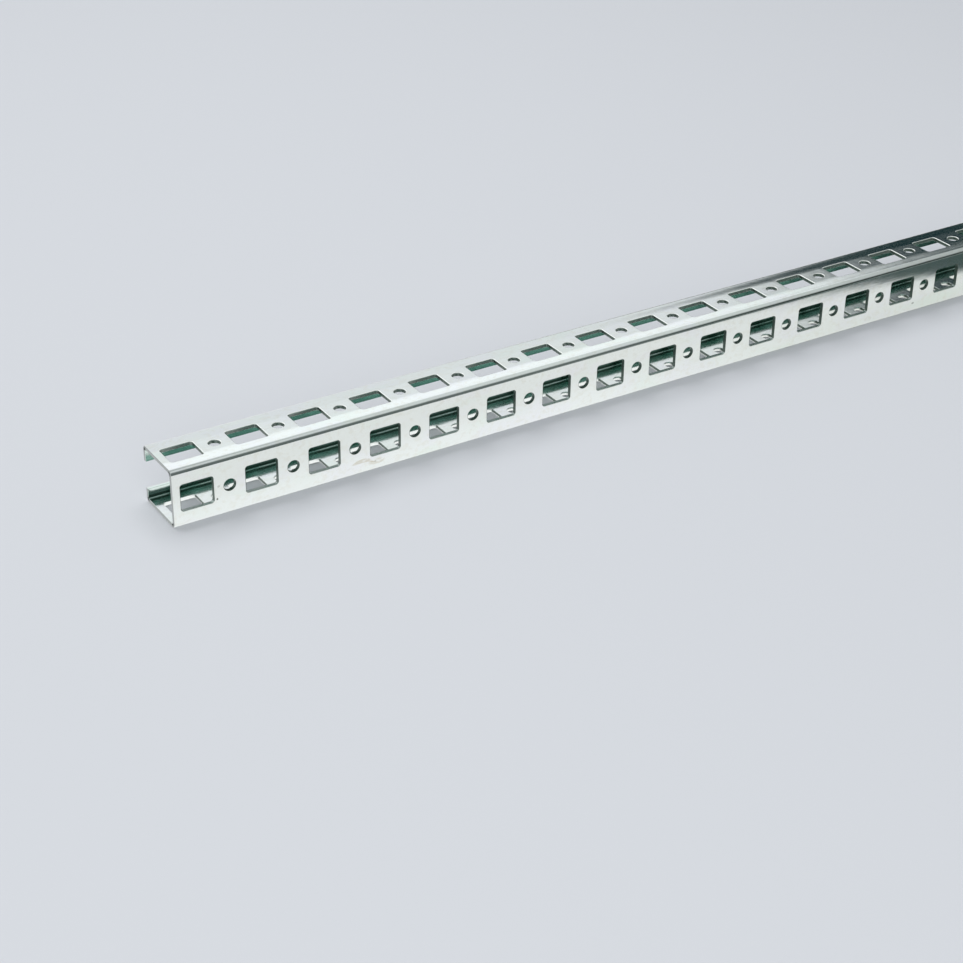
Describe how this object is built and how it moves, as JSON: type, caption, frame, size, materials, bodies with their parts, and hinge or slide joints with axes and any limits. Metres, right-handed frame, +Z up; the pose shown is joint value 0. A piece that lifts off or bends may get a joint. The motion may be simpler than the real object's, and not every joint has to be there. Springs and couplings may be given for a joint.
{
  "type": "perforated mounting rail",
  "caption": "Straight lipped channel rail of folded zinc-plated sheet steel, punched on its web and both flanges with alternating rectangular slots and round screw holes.",
  "frame": {"origin": "middle of the footprint on the floor, under the centre of the rail's bounding box", "axes": "+X along the rail, towards the end with the wider last margin; web towards -Y, open side with the two lips towards +Y; +Z up from the lower flange to the upper one"},
  "size_m": [0.595, 0.023, 0.023],
  "materials": {
    "zinc_plated_steel": "bright zinc plating, clear passivated, with faint rolling lines and blue-grey mottling"
  },
  "bodies": {
    "root": {"mounting_rail": "zinc_plated_steel"}
  },
  "joints": []
}
